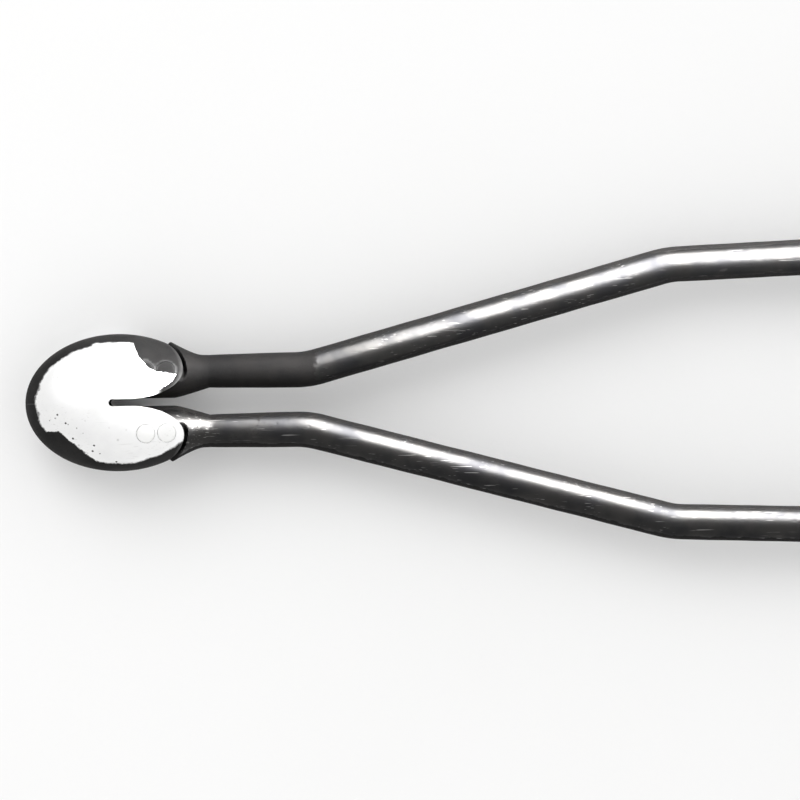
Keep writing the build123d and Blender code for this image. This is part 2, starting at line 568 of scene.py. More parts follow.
@dataclass
class Arm:
    """A round rod, swelled at the root to fill its half of the bow and flattened for the jaw."""

    bulb: Bulb = field(default_factory=Bulb)
    tongue: Tongue = field(default_factory=Tongue)
    pocket_depth: float = 1.82
    pocket_play: float = 0.24
    root_gap: float = 2.0
    root_back: float = 3.0
    root_step: float = 0.3
    rod_start: float = 24.0
    rod_full: float = 44.0
    rod_middle: float = 7.85
    root_radius: float = 4.3
    rod_radius: float = 4.7
    first_bend: tuple[float, float] = (49.9, 7.85)
    second_bend: tuple[float, float] = (145.5, 33.9)
    end_spread: float = 2.1
    bend_radius: float = 24.0
    pad_thickness: float = 5.4
    pad_height: float = 14.0
    pad_length: float = 42.0
    pad_taper: float = 22.0
    pad_corner: float = 2.2
    around: int = 128
    sections: tuple[tuple[float, float, float, float], ...] = (
        (24.0, 3.55, 12.15, 4.3),
        (21.4, 2.75, 12.35, 4.9),
        (18.7, 1.95, 13.35, 6.1),
        (16.1, 1.25, 14.65, 7.5),
        (13.5, 0.80, 16.00, 8.9),
        (8.0, 0.20, 17.40, 10.6),
        (1.0, -0.40, 18.40, 12.2),
    )

    def root_section(self, x: float) -> tuple[float, float, float]:
        """Smooth section of the root.

        Args:
            x: Place along the tongs, in mm.

        Returns:
            Middle y, half width and half height, in mm.
        """
        rows = self.sections
        for index in range(len(rows) - 1):
            if x >= rows[index + 1][0] or index == len(rows) - 2:
                break
        before, after = rows[index], rows[index + 1]
        wider = rows[max(0, index - 1)]
        further = rows[min(len(rows) - 1, index + 2)]
        span = before[0] - after[0]
        share = (before[0] - x) / span
        values = []
        for column in (1, 2, 3):
            slope_in = (after[column] - wider[column]) / max(1e-6, wider[0] - after[0])
            slope_out = (further[column] - before[column]) / max(1e-6, before[0] - further[0])
            low, high = before[column], after[column]
            square, cube = share * share, share * share * share
            values.append(
                low * (2 * cube - 3 * square + 1) + slope_in * span * (cube - 2 * square + share)
                + high * (3 * square - 2 * cube) + slope_out * span * (cube - square)
            )
        near, far, half_height = values
        return (near + far) / 2, (far - near) / 2, half_height

    def root_ring(self, x: float, inset: float) -> list[Point]:
        """Outline of the root across the tongs, let in under the bow's tongue.

        Args:
            x: Place along the tongs, in mm.
            inset: How far the ring is drawn in, in mm.

        Returns:
            The ring's points, in mm.
        """
        middle, half_width, half_height = self.root_section(x)
        inner = self.bulb.shrunk(self.pocket_depth)
        flat = self.root_gap / 2
        ring = []
        for number in range(self.around):
            angle = 2 * pi * number / self.around
            side, up = cos(angle), sin(angle)
            reach = 1 / hypot(side / half_width, up / half_height)
            level = 1 - (x / inner.half_length) ** 2
            if level > 0:
                a = (side / inner.half_width) ** 2 + (up / inner.half_height) ** 2
                b = 2 * middle * side / inner.half_width**2
                c = (middle / inner.half_width) ** 2 - level
                root = b * b - 4 * a * c
                let_in = (-b + sqrt(root)) / (2 * a) if root > 0 and c < 0 else reach
                place = middle + reach * side
                shoulder = smoothstep(self.tongue.outside(x, place, self.pocket_play) / 0.55)
                reach = min(reach, let_in) * (1 - shoulder) + reach * shoulder
            if side < 0:
                reach = min(reach, (middle - flat) / -side)
            reach = max(0.5, reach - inset)
            ring.append((x, middle + reach * side, reach * up))
        return ring

    def heading(self) -> float:
        """Angle of the splayed stretch to the tongs' axis, in radians."""
        (x0, y0), (x1, y1) = self.first_bend, self.second_bend
        return asin((y1 - y0) / hypot(x1 - x0, y1 - y0))

    def ring(
        self, centre: tuple[float, float], heading: float, shape: Callable[[float], tuple[float, float]]
    ) -> list[Point]:
        """Ring across the rod.

        Args:
            centre: Middle of the ring in plan, in mm.
            heading: Direction of the rod, in radians.
            shape: Gives (across, up) for an angle round the ring.

        Returns:
            The ring's points, in mm.
        """
        points = []
        for number in range(self.around):
            across, up = shape(2 * pi * number / self.around)
            points.append((centre[0] - across * sin(heading), centre[1] + across * cos(heading), up))
        return points

    def round_shape(self, radius: float) -> Callable[[float], tuple[float, float]]:
        """Shape of a round section."""
        return lambda angle: (radius * cos(angle), radius * sin(angle))

    def pad_shape(
        self, half_across: float, half_up: float, corner: float
    ) -> Callable[[float], tuple[float, float]]:
        """Shape of a rounded rectangle, with its points spread as on a circle."""

        def shape(angle: float) -> tuple[float, float]:
            c, s = cos(angle), sin(angle)
            reach = min(half_across / max(1e-6, abs(c)), half_up / max(1e-6, abs(s)))
            across, up = reach * c, reach * s
            inner_a, inner_u = half_across - corner, half_up - corner
            if abs(across) > inner_a and abs(up) > inner_u:
                # the corner's arc, met along the same ray
                ca = inner_a if c > 0 else -inner_a
                cu = inner_u if s > 0 else -inner_u
                dot = ca * c + cu * s
                reach = dot + sqrt(max(0.0, dot * dot - (ca * ca + cu * cu - corner * corner)))
                across, up = reach * c, reach * s
            return across, up

        return shape

    def root_rings(self) -> list[list[Point]]:
        """Rings of the root, from the closed end inside the bow to the rod."""
        rings = [self.root_ring(self.root_back, inset) for inset in (6.0, 3.0, 1.2, 0.5)]
        rings.append(self.root_ring(self.root_back + 0.12, 0.2))
        count = round((self.rod_start - self.root_back - 0.4) / self.root_step)
        for number in range(count + 1):
            x = self.root_back + 0.4 + (self.rod_start - self.root_back - 0.4) * number / count
            rings.append(self.root_ring(x, 0.0))
        return rings

    def forged(self, along: float, radius: float) -> float:
        """Radius with the slight unevenness that forging leaves."""
        return radius + 0.035 * sin(along / 4.3) * sin(along / 17.0 + 1.0) + 0.02 * sin(along / 2.1 + 0.7)

    def rod_rings(self, jaw_along: float) -> list[list[Point]]:
        """Rings of the rod, its two bends and the pad.

        Args:
            jaw_along: Distance of the jaw's middle past the second bend, in mm.

        Returns:
            The rings in order, in mm.
        """
        rise, spread = self.heading(), radians(self.end_spread)
        first_tangent = self.bend_radius * tan(rise / 2)
        second_tangent = self.bend_radius * tan((rise - spread) / 2)
        x, y = self.rod_start, self.rod_middle
        rings = []
        travelled = 0.0

        def straight(length: float, heading: float, step: float, radius_at: Callable[[float], float]) -> None:
            nonlocal x, y, travelled
            count = max(1, round(length / step))
            for _ in range(count):
                x += length / count * cos(heading)
                y += length / count * sin(heading)
                travelled += length / count
                radius = self.forged(travelled, radius_at(travelled))
                rings.append(self.ring((x, y), heading, self.round_shape(radius)))

        def bend(start: float, turn: float, count: int) -> None:
            nonlocal x, y, travelled
            for number in range(1, count + 1):
                heading = start + turn * number / count
                chord = 2 * self.bend_radius * sin(abs(turn) / count / 2)
                middle = start + turn * (number - 0.5) / count
                x += chord * cos(middle)
                y += chord * sin(middle)
                travelled += chord
                radius = self.forged(travelled, self.rod_radius)
                rings.append(self.ring((x, y), heading, self.round_shape(radius)))

        growth = (self.rod_radius - self.root_radius) / (self.rod_full - self.rod_start)
        straight(self.rod_full - self.rod_start, 0, 1.6, lambda at: self.root_radius + growth * at)
        straight(self.first_bend[0] - self.rod_full - first_tangent, 0, 1.2, lambda at: self.rod_radius)
        bend(0, rise, 14)
        middle = hypot(self.second_bend[0] - self.first_bend[0], self.second_bend[1] - self.first_bend[1])
        straight(middle - first_tangent - second_tangent, rise, 1.6, lambda at: self.rod_radius)
        bend(rise, spread - rise, 12)
        pad_start = jaw_along - self.pad_length / 2 - 2
        straight(pad_start - self.pad_taper - second_tangent, spread, 1.8, lambda at: self.rod_radius)
        round_shape = self.round_shape(self.rod_radius)
        tapering, flat_steps, end_steps = 22, 20, 12
        half_across, half_up = self.pad_thickness / 2, self.pad_height / 2

        def advance(length: float) -> None:
            nonlocal x, y
            x += length * cos(spread)
            y += length * sin(spread)

        def blended(share: float) -> Callable[[float], tuple[float, float]]:
            pad = self.pad_shape(half_across, half_up, self.pad_corner)

            def shape(angle: float) -> tuple[float, float]:
                (a0, u0), (a1, u1) = round_shape(angle), pad(angle)
                return a0 + (a1 - a0) * share, u0 + (u1 - u0) * share

            return shape

        for number in range(1, tapering + 1):
            advance(self.pad_taper / tapering)
            rings.append(self.ring((x, y), spread, blended(smoothstep(number / tapering))))
        for _ in range(flat_steps):
            advance((self.pad_length - half_up) / flat_steps)
            rings.append(self.ring((x, y), spread, blended(1.0)))
        left = half_up
        edge = 1.4
        for number in range(1, end_steps + 1):
            beyond = half_up * (1 - sin(pi / 2 * (1 - number / end_steps)))
            now_left = half_up * sin(pi / 2 * (1 - number / end_steps))
            advance(left - now_left)
            left = now_left
            up = max(0.35, sqrt(max(0.0, half_up**2 - beyond**2)))
            drawn_in = edge - sqrt(max(0.0, edge**2 - max(0.0, edge - left) ** 2))
            across = half_across - drawn_in
            corner = min(self.pad_corner, 0.95 * up, 0.95 * across)
            rings.append(self.ring((x, y), spread, self.pad_shape(across, up, corner)))
        return rings

    def build(self, shop: "Workshop") -> list[bpy.types.Object]:
        """Makes both arms.

        Args:
            shop: Places pieces in the row frame.

        Returns:
            The rear and the front arm.
        """
        rear = shop.tube("rear_arm_forged", self.root_rings() + self.rod_rings(shop.jaw_along))
        Bench.smooth(rear, 38)
        front = Bench.mirrored(rear, "front_arm_forged")
        for piece, side in ((rear, Side.REAR), (front, Side.FRONT)):
            shop.finish_piece(piece, side.body, "rod_steel", f"{side.word}_arm")
        return [rear, front]


@dataclass
class Jaw:
    """A band with a flat back on the arm's pad and two wings round the crucible."""

    thickness: float = 3.0
    height: float = 26.0
    flat: float = 23.0
    wing_radius: float = 26.0
    wing_turn: float = 60.0
    wing_steps: int = 28
    edge: float = 0.75
    tip_edge: float = 1.3
    pad_thickness: float = 5.4
    rivet_spacing: float = 13.0
    rivet_radius: float = 2.0
    head_radius: float = 3.7
    head_height: float = 1.9

    @property
    def middle(self) -> float:
        """The band's middle, inwards of the rod's axis."""
        return -(self.pad_thickness + self.thickness) / 2

    @property
    def wing_middle(self) -> float:
        """Radius of a wing's middle."""
        return self.wing_radius + self.thickness / 2

    def reach(self, spread: float) -> float:
        """How far the band reaches past its own middle along the tongs, in mm.

        Args:
            spread: The arm's direction there, in radians.
        """
        turn = radians(self.wing_turn)
        along = self.flat / 2 + self.wing_middle * sin(turn)
        across = -self.middle + self.wing_middle * (1 - cos(turn))
        return along * cos(spread) + across * sin(spread) + self.thickness / 2

    def bend_band(self) -> bpy.types.Object:
        """Bends the band from a strip: the flat back, then each wing spun round its centre.

        Returns:
            The band about the pad's middle, x along the arm and y outwards, in mm.
        """
        Bench.clear()
        bpy.ops.mesh.primitive_plane_add(
            size=1, location=(-self.flat / 2, self.middle, 0), rotation=(0, pi / 2, 0)
        )
        band = Bench.added("rear_jaw_band")
        Bench.apply_place(band)
        for vertex in band.data.vertices:
            vertex.co.y = self.middle + (vertex.co.y - self.middle) * self.thickness
            vertex.co.z *= self.height
        Bench.take(band)
        Bench.edit("FACE")
        bpy.ops.mesh.select_all(action="SELECT")
        bpy.ops.mesh.extrude_region_move(TRANSFORM_OT_translate={"value": (self.flat, 0, 0)})
        for end in (1, -1):
            place = end * self.flat / 2
            Bench.pick_faces(
                band, lambda face: abs(face.center.x - place) < 1e-3 and abs(face.normal.x) > 0.9
            )
            bpy.ops.mesh.spin(
                steps=self.wing_steps,
                angle=radians(self.wing_turn),
                center=(place, self.middle - self.wing_middle, 0),
                axis=(0, 0, end),
            )
        Bench.done()
        Bench.face_outwards(band)
        self.soften(band)
        return band

    def soften(self, band: bpy.types.Object) -> None:
        """Rounds the band's tips and breaks its long edges."""

        def turned(point: Vector) -> float:
            return degrees(atan2(abs(point.x) - self.flat / 2, point.y - self.middle + self.wing_middle))

        Bench.pick_edges(
            band,
            lambda first, second: hypot(first.x - second.x, first.y - second.y) < 1e-4
            and abs(turned(first) - self.wing_turn) < 0.2,
        )
        bpy.ops.mesh.bevel(offset=self.tip_edge, segments=5, profile=0.5, clamp_overlap=True)
        Bench.done()
        Bench.apply(
            band, "BEVEL", "edges", width=self.edge, segments=4, limit_method="ANGLE",
            angle_limit=radians(50), use_clamp_overlap=True,
        )

    def build(self, shop: "Workshop") -> list[bpy.types.Object]:
        """Makes both jaws and their rivets.

        Args:
            shop: Places pieces in the row frame.

        Returns:
            The bands and the rivets.
        """
        made = []
        seat = shop.pad_place()
        band = self.bend_band()
        band.data.transform(seat)
        Bench.smooth(band, 38)
        made.append(band)
        shop.pair(band, "jaw_band", "jaw_steel", "jaw")
        front = self.pad_thickness / 2 + self.thickness
        back = self.pad_thickness / 2
        for number, offset in enumerate((-self.rivet_spacing / 2, self.rivet_spacing / 2), start=1):
            profile = [
                (0.9, -front - 0.02), (2.4, -front - 0.05),
                (3.1, -front + 0.02), (self.rivet_radius, -front + 1.3),
            ]
            profile += [(self.rivet_radius, back - 0.05), (self.head_radius - 0.12, back - 0.05)]
            profile += [
                (self.head_radius * cos(angle), back + 0.12 + (self.head_height - 0.12) * sin(angle))
                for angle in (pi / 2 * step / 7 for step in range(7))
            ]
            profile.append((0.35, back + self.head_height))
            rivet = shop.turned(f"rear_jaw_rivet_head_{number}", profile)
            upright = Matrix.Translation((offset, 0, 0)) @ Matrix.Rotation(-pi / 2, 4, "X")
            rivet.data.transform(seat @ upright)
            Bench.smooth(rivet, 40)
            made.append(rivet)
            shop.pair(rivet, f"jaw_rivet_head_{number}", "jaw_rivet_steel", f"jaw_rivet_{number}")
        return made


@dataclass
class BowRivets:
    """Through rivets that hold the tongues to the arms' roots, dressed flush with the bow."""

    bulb: Bulb = field(default_factory=Bulb)
    places: tuple[tuple[float, float], ...] = ((7.2, 8.3), (12.7, 8.2))
    shank: float = 1.9
    head: float = 2.45
    break_edge: float = 0.18

    def build(self, shop: "Workshop") -> list[bpy.types.Object]:
        """Makes the rivets of both tongues.

        Args:
            shop: Places pieces in the row frame.

        Returns:
            The rivets.
        """
        made = []
        for number, (x, y) in enumerate(self.places, start=1):
            top = self.bulb.height(x, y)
            rings = (0.3, 0.9, 1.5, 2.1, self.head - 0.3, self.head - 0.12)
            upper = [(self.head, top - 0.3), *((radius, top) for radius in reversed(rings))]
            profile = [(radius, -top) for radius in rings] + [(self.head, -top + 0.3)]
            profile += [(self.head, 3.2 - top), (self.shank, 4.4 - top), (self.shank, top - 4.4)]
            profile += [(self.head, top - 3.2), *upper]
            rivet = shop.turned(f"rear_bow_rivet_dressed_{number}", profile)
            rivet.data.transform(Matrix.Translation((x, y, 0)))
            for vertex in rivet.data.vertices:
                if abs(vertex.co.z) > top - 0.31:
                    radius = hypot(vertex.co.x - x, vertex.co.y - y)
                    level = self.bulb.height(vertex.co.x, vertex.co.y) + 0.04
                    if radius > self.head - 0.06:
                        level -= 0.3
                    elif radius > self.head - 0.2:
                        level -= self.break_edge * 0.25
                    vertex.co.z = level if vertex.co.z > 0 else -level
            Bench.smooth(rivet, 40)
            made.append(rivet)
            shop.pair(rivet, f"bow_rivet_dressed_{number}", "bow_rivet_steel", f"bow_rivet_{number}")
        return made


@dataclass
class Workshop:
    """Where the pieces stand in the row frame, and the work that several of them share."""

    centre_x: float
    mid_z: float
    jaw_along: float
    spread: float
    splay: tuple[float, float]
    finishes: dict[str, bpy.types.Material]

    def spot(self, point: Point) -> Point:
        """Place in the row frame, in metres, of a point in mm about the bow's centre."""
        return (self.centre_x + point[0] * MM, point[1] * MM, self.mid_z + point[2] * MM)

    def settle(self, piece: bpy.types.Object) -> None:
        """Puts a mesh made in mm about the bow's centre in its place in the row frame."""
        Bench.place(piece, Matrix.Translation(self.spot((0, 0, 0))) @ Matrix.Scale(MM, 4))

    def pad_place(self) -> Matrix:
        """Placing of the rear jaw pad's own frame, in mm about the bow's centre."""
        return (
            Matrix.Translation((self.splay[0], self.splay[1], 0))
            @ Matrix.Rotation(self.spread, 4, "Z")
            @ Matrix.Translation((self.jaw_along, 0, 0))
        )

    def tube(self, name: str, rings: Sequence[Sequence[Point]]) -> bpy.types.Object:
        """Rolls a flat strip up into a closed tube with the given rings.

        Args:
            name: Name of the piece.
            rings: Rings with the same number of points, in order.

        Returns:
            The closed tube.
        """
        last_ring, around = len(rings) - 1, len(rings[0])
        Bench.clear()
        bpy.ops.mesh.primitive_grid_add(x_subdivisions=last_ring, y_subdivisions=around, size=1)
        piece = Bench.added(name)
        for vertex in piece.data.vertices:
            ring = round((vertex.co.x + 0.5) * last_ring)
            place = round((vertex.co.y + 0.5) * around) % around
            vertex.co = Vector(rings[ring][place])
        Bench.take(piece)
        Bench.edit()
        bpy.ops.mesh.select_all(action="SELECT")
        bpy.ops.mesh.remove_doubles(threshold=1e-5)
        bpy.ops.mesh.select_all(action="DESELECT")
        bpy.ops.mesh.select_mode(type="EDGE")
        bpy.ops.mesh.select_non_manifold()
        bpy.ops.mesh.fill()
        Bench.done()
        Bench.face_outwards(piece)
        return piece

    def turned(self, name: str, profile: Sequence[tuple[float, float]]) -> bpy.types.Object:
        """Turns a round piece: a disc is pulled up step by step to each radius and height.

        Args:
            name: Name of the piece.
            profile: (radius, height) from one end to the other, in mm.

        Returns:
            The closed piece, with its axis along z.
        """
        radius, height = profile[0]
        Bench.clear()
        bpy.ops.mesh.primitive_circle_add(
            vertices=48, radius=radius, fill_type="NGON", location=(0, 0, height)
        )
        piece = Bench.added(name)
        Bench.apply_place(piece)
        Bench.edit("FACE")
        bpy.ops.mesh.select_all(action="SELECT")
        for next_radius, next_height in profile[1:]:
            bpy.ops.mesh.extrude_region_move(
                TRANSFORM_OT_translate={"value": (0, 0, next_height - height)}
            )
            share = next_radius / radius
            bpy.ops.transform.resize(value=(share, share, 1))
            radius, height = next_radius, next_height
        Bench.done()
        Bench.face_outwards(piece)
        return piece

    def finish_piece(self, piece: bpy.types.Object, body: str, slot: str, node: str) -> None:
        """Places a piece, gives it its finish and lets it ride on its body in a node's place.

        Args:
            piece: The piece, in mm about the bow's centre.
            body: CAD body that it rides on.
            slot: Material slot of the record.
            node: CAD node that it stands for.
        """
        self.settle(piece)
        piece.data.materials.clear()
        piece.data.materials.append(self.finishes[slot])
        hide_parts(node)
        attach(piece, body)

    def pair(self, rear: bpy.types.Object, suffix: str, slot: str, node: str) -> bpy.types.Object:
        """Finishes a rear piece and its mirrored front copy.

        Args:
            rear: The rear piece, in mm about the bow's centre.
            suffix: Name of both pieces after the side's name.
            slot: Material slot of the record.
            node: Name of both CAD nodes after the side's name.

        Returns:
            The front copy.
        """
        front = Bench.mirrored(rear, f"front_{suffix}")
        for piece, side in ((rear, Side.REAR), (front, Side.FRONT)):
            self.finish_piece(piece, side.body, slot, f"{side.word}_{node}")
        return front


# ---------------------------------------------------------------------------
# Finishes
# ---------------------------------------------------------------------------


class NodeDesk:
    """Adds and joins nodes in one tree with little writing."""

    def __init__(self, tree: bpy.types.NodeTree) -> None:
        """Takes an empty tree to work in."""
        self.tree = tree
        tree.nodes.clear()
        self.column = 0

    def add(
        self, kind: str, inputs: Optional[dict[object, object]] = None, **settings: object
    ) -> bpy.types.Node:
        """Adds a node.

        Args:
            kind: Node type.
            inputs: Socket name or index to a value, or to an output socket that is linked to it.
            settings: Node properties.

        Returns:
            The node.
        """
        node = self.tree.nodes.new(kind)
        node.location = (180 * (self.column % 12), -220 * (self.column // 12))
        self.column += 1
        for key, value in settings.items():
            setattr(node, key, value)
        for key, value in (inputs or {}).items():
            self.feed(node.inputs[key], value)
        return node

    def feed(self, socket: bpy.types.NodeSocket, value: object) -> None:
        """Links an output to a socket, or sets the socket's own value."""
        if isinstance(value, bpy.types.NodeSocket):
            self.tree.links.new(value, socket)
        else:
            socket.default_value = value

    def math(
        self,
        operation: str,
        first: object,
        second: object = 0.0,
        third: object = 0.0,
        clamp: bool = False,
    ) -> bpy.types.NodeSocket:
        """Adds a Math node and returns its output."""
        values = {0: first, 1: second, 2: third}
        node = self.add("ShaderNodeMath", values, operation=operation, use_clamp=clamp)
        return node.outputs[0]

    def times(self, first: object, second: object, clamp: bool = False) -> bpy.types.NodeSocket:
        """Product of two values."""
        return self.math("MULTIPLY", first, second, clamp=clamp)

    def plus(self, first: object, second: object, clamp: bool = False) -> bpy.types.NodeSocket:
        """Sum of two values."""
        return self.math("ADD", first, second, clamp=clamp)

    def minus(self, first: object, second: object, clamp: bool = False) -> bpy.types.NodeSocket:
        """First value less the second."""
        return self.math("SUBTRACT", first, second, clamp=clamp)

    def ramp(
        self, value: object, low: float, high: float, to_low: float = 0.0, to_high: float = 1.0
    ) -> bpy.types.NodeSocket:
        """Maps low..high to two values with a smooth, clamped step."""
        node = self.add(
            "ShaderNodeMapRange",
            {"Value": value, "From Min": low, "From Max": high, "To Min": to_low, "To Max": to_high},
            interpolation_type="SMOOTHSTEP",
        )
        return node.outputs["Result"]

    def noise(
        self,
        vector: object,
        scale: object,
        detail: float = 4.0,
        rough: float = 0.55,
        twist: float = 0.0,
    ) -> bpy.types.NodeSocket:
        """Adds a noise texture and returns its value."""
        node = self.add(
            "ShaderNodeTexNoise",
            {"Vector": vector, "Scale": scale, "Detail": detail, "Roughness": rough, "Distortion": twist},
        )
        return node.outputs["Fac"]

    def mix(self, share: object, first: object, second: object, blend: str = "MIX") -> bpy.types.NodeSocket:
        """Mixes two colours and returns the result."""
        node = self.add("ShaderNodeMix", data_type="RGBA", blend_type=blend)
        self.feed(node.inputs["Factor"], share)
        self.feed(node.inputs[6], first)
        self.feed(node.inputs[7], second)
        return node.outputs[2]

    def blend(self, share: object, first: object, second: object) -> bpy.types.NodeSocket:
        """Mixes two values and returns the result."""
        node = self.add("ShaderNodeMix", data_type="FLOAT")
        self.feed(node.inputs["Factor"], share)
        self.feed(node.inputs[2], first)
        self.feed(node.inputs[3], second)
        return node.outputs[0]

    def stretched(self, vector: object, scale: Point, place: Point = (0.0, 0.0, 0.0)) -> bpy.types.NodeSocket:
        """Scales and moves a vector with a Mapping node."""
        node = self.add("ShaderNodeMapping", {"Vector": vector, "Location": place, "Scale": scale})
        return node.outputs["Vector"]

    def group(self, tree: bpy.types.NodeTree, inputs: dict[str, object]) -> bpy.types.Node:
        """Places a node group with its own values."""
        node = self.add("ShaderNodeGroup", node_tree=tree)
        for key, value in inputs.items():
            self.feed(node.inputs[key], value)
        return node


Sockets = Sequence[tuple[str, str, float]]


def group_tree(
    name: str, inputs: Sockets, outputs: Sequence[tuple[str, str]]
) -> tuple[NodeDesk, bpy.types.Node, bpy.types.Node]:
    """Starts a shader node group.

    Args:
        name: Name of the group.
        inputs: Name, socket type and default value of each input.
        outputs: Name and socket type of each output.

    Returns:
        The desk, the group's input node and its output node.
    """
    tree = bpy.data.node_groups.new(name, "ShaderNodeTree")
    desk = NodeDesk(tree)
    for socket_name, kind, default in inputs:
        socket = tree.interface.new_socket(name=socket_name, in_out="INPUT", socket_type=kind)
        if kind == "NodeSocketFloat":
            socket.default_value = default
    for socket_name, kind in outputs:
        tree.interface.new_socket(name=socket_name, in_out="OUTPUT", socket_type=kind)
    return desk, desk.add("NodeGroupInput"), desk.add("NodeGroupOutput")


FLOAT, COLOUR, VECTOR = "NodeSocketFloat", "NodeSocketColor", "NodeSocketVector"


class Effects:
    """Shader node groups that the finishes share."""

    def __init__(self) -> None:
        """Builds each group once."""
        self.scale = self.forge_scale()
        self.grain = self.dressed_grain()
        self.wear = self.handling_wear()
        self.colours = self.temper_colours()

    def forge_scale(self) -> bpy.types.NodeTree:
        """Black scale left by the forge: broken cover, mottled tone and a pitted height."""
        desk, given, out = group_tree(
            "Forge Scale",
            [
                ("Place", VECTOR, 0), ("Cover", FLOAT, 0.5),
                ("Patch Size", FLOAT, 6.0), ("Break Up", FLOAT, 0.5),
            ],
            [("Mask", FLOAT), ("Tone", COLOUR), ("Height", FLOAT), ("Roughness", FLOAT)],
        )
        place = given.outputs["Place"]
        frequency = desk.math("DIVIDE", 1.0, given.outputs["Patch Size"])
        patches = desk.noise(place, frequency, 6.0, 0.62, 0.3)
        flakes = desk.noise(place, desk.times(frequency, 6.0), 4.0, 0.6)
        broken = desk.plus(desk.times(patches, 0.7), desk.times(flakes, 0.3))
        spread = desk.times(desk.minus(broken, 0.5), given.outputs["Break Up"])
        level = desk.plus(given.outputs["Cover"], desk.times(spread, 3.2))
        mask = desk.ramp(level, 0.42, 0.58)
        fine = desk.noise(place, desk.times(frequency, 22.0), 3.0, 0.7)
        warm = desk.mix(
            desk.ramp(patches, 0.35, 0.7), (0.0040, 0.0039, 0.0042, 1), (0.0095, 0.0085, 0.0080, 1)
        )
        tone = desk.mix(desk.ramp(fine, 0.35, 0.75), warm, (0.015, 0.0142, 0.0138, 1))
        pits = desk.ramp(fine, 0.28, 0.46)
        height = desk.times(mask, desk.plus(desk.times(pits, 0.5), desk.times(flakes, 0.5)))
        rough = desk.ramp(fine, 0.2, 0.8, 0.55, 0.82)
        for name, value in (("Mask", mask), ("Tone", tone), ("Height", height), ("Roughness", rough)):
            desk.feed(out.inputs[name], value)
        return desk.tree

    def dressed_grain(self) -> bpy.types.NodeTree:
        """Fine lines left by filing and polishing, drawn out along one direction."""
        desk, given, out = group_tree(
            "Dressed Grain",
            [("Place", VECTOR, 0), ("Lines Per mm", FLOAT, 5.0), ("Unevenness", FLOAT, 0.5)],
            [("Lines", FLOAT), ("Height", FLOAT), ("Cloud", FLOAT)],
        )
        place = given.outputs["Place"]
        drawn = desk.stretched(place, (0.06, 1.0, 1.0))
        lines = desk.noise(drawn, given.outputs["Lines Per mm"], 3.0, 0.7)
        coarse = desk.noise(drawn, desk.times(given.outputs["Lines Per mm"], 0.27), 2.0, 0.5)
        cloud = desk.noise(place, 0.13, 3.0, 0.5)
        both = desk.plus(desk.times(lines, 0.6), desk.times(coarse, 0.4))
        uneven = desk.blend(given.outputs["Unevenness"], 1.0, desk.ramp(cloud, 0.3, 0.7))
        height = desk.times(both, uneven)
        for name, value in (("Lines", both), ("Height", height), ("Cloud", cloud)):
            desk.feed(out.inputs[name], value)
        return desk.tree

    def handling_wear(self) -> bpy.types.NodeTree:
        """Scratches and small dents from use."""
        desk, given, out = group_tree(
            "Handling Wear",
            [("Place", VECTOR, 0), ("Amount", FLOAT, 0.5), ("Scratch Width", FLOAT, 0.04)],
            [("Scratches", FLOAT), ("Dents", FLOAT), ("Height", FLOAT)],
        )
        place = given.outputs["Place"]
        scratches: object = 0.0
        for turn, size in ((0.25, 2.6), (-0.4, 3.4), (1.2, 2.1)):
            turned = desk.add(
                "ShaderNodeMapping",
                {"Vector": place, "Rotation": (0.3 * turn, 0.5, turn), "Scale": (0.035, 1.0, 1.0)},
            ).outputs["Vector"]
            streak = desk.noise(turned, size, 1.0, 0.4)
            limit = desk.minus(0.74, given.outputs["Scratch Width"])
            line = desk.ramp(desk.minus(streak, limit), 0.0, 0.03)
            where = desk.ramp(desk.noise(place, 0.035 * size, 1.0), 0.48, 0.6)
            scratches = desk.math("MAXIMUM", scratches, desk.times(line, where))
        cells = desk.add(
            "ShaderNodeTexVoronoi", {"Vector": place, "Scale": 0.32, "Randomness": 1.0}, feature="F1"
        ).outputs["Distance"]
        dents = desk.ramp(cells, 0.16, 0.05)
        scratches = desk.times(scratches, given.outputs["Amount"])
        dents = desk.times(dents, given.outputs["Amount"])
        height = desk.minus(1.0, desk.plus(desk.times(scratches, 0.25), dents))
        for name, value in (("Scratches", scratches), ("Dents", dents), ("Height", height)):
            desk.feed(out.inputs[name], value)
        return desk.tree

    def temper_colours(self) -> bpy.types.NodeTree:
        """Straw, bronze, purple, blue and grey oxide colours by how hot the steel became."""
        desk, given, out = group_tree(
            "Temper Colours",
            [("Heat", FLOAT, 0.0), ("Strength", FLOAT, 0.5)],
            [("Colour", COLOUR), ("Mask", FLOAT)],
        )
        ramp = desk.add("ShaderNodeValToRGB", {"Fac": given.outputs["Heat"]})
        stops = (
            (0.0, (0.80, 0.79, 0.77, 1)),
            (0.30, (0.78, 0.68, 0.45, 1)),
            (0.48, (0.50, 0.33, 0.20, 1)),
            (0.60, (0.28, 0.17, 0.26, 1)),
            (0.72, (0.13, 0.17, 0.30, 1)),
            (0.86, (0.24, 0.27, 0.30, 1)),
            (1.0, (0.10, 0.095, 0.09, 1)),
        )
        elements = ramp.color_ramp.elements
        while len(elements) < len(stops):
            elements.new(0.5)
        for element, (position, colour) in zip(elements, stops):
            element.position = position
            element.color = colour
        mask = desk.times(desk.ramp(given.outputs["Heat"], 0.05, 0.45), given.outputs["Strength"])
        desk.feed(out.inputs["Colour"], ramp.outputs["Color"])
        desk.feed(out.inputs["Mask"], mask)
        return desk.tree


@dataclass
class Surface:
    """One material while it is being built: its desk, its shader and places in mm."""

    material: bpy.types.Material
    desk: NodeDesk
    shader: bpy.types.Node
    place: bpy.types.NodeSocket
    x: bpy.types.NodeSocket
    y: bpy.types.NodeSocket
    z: bpy.types.NodeSocket
    edge: bpy.types.NodeSocket


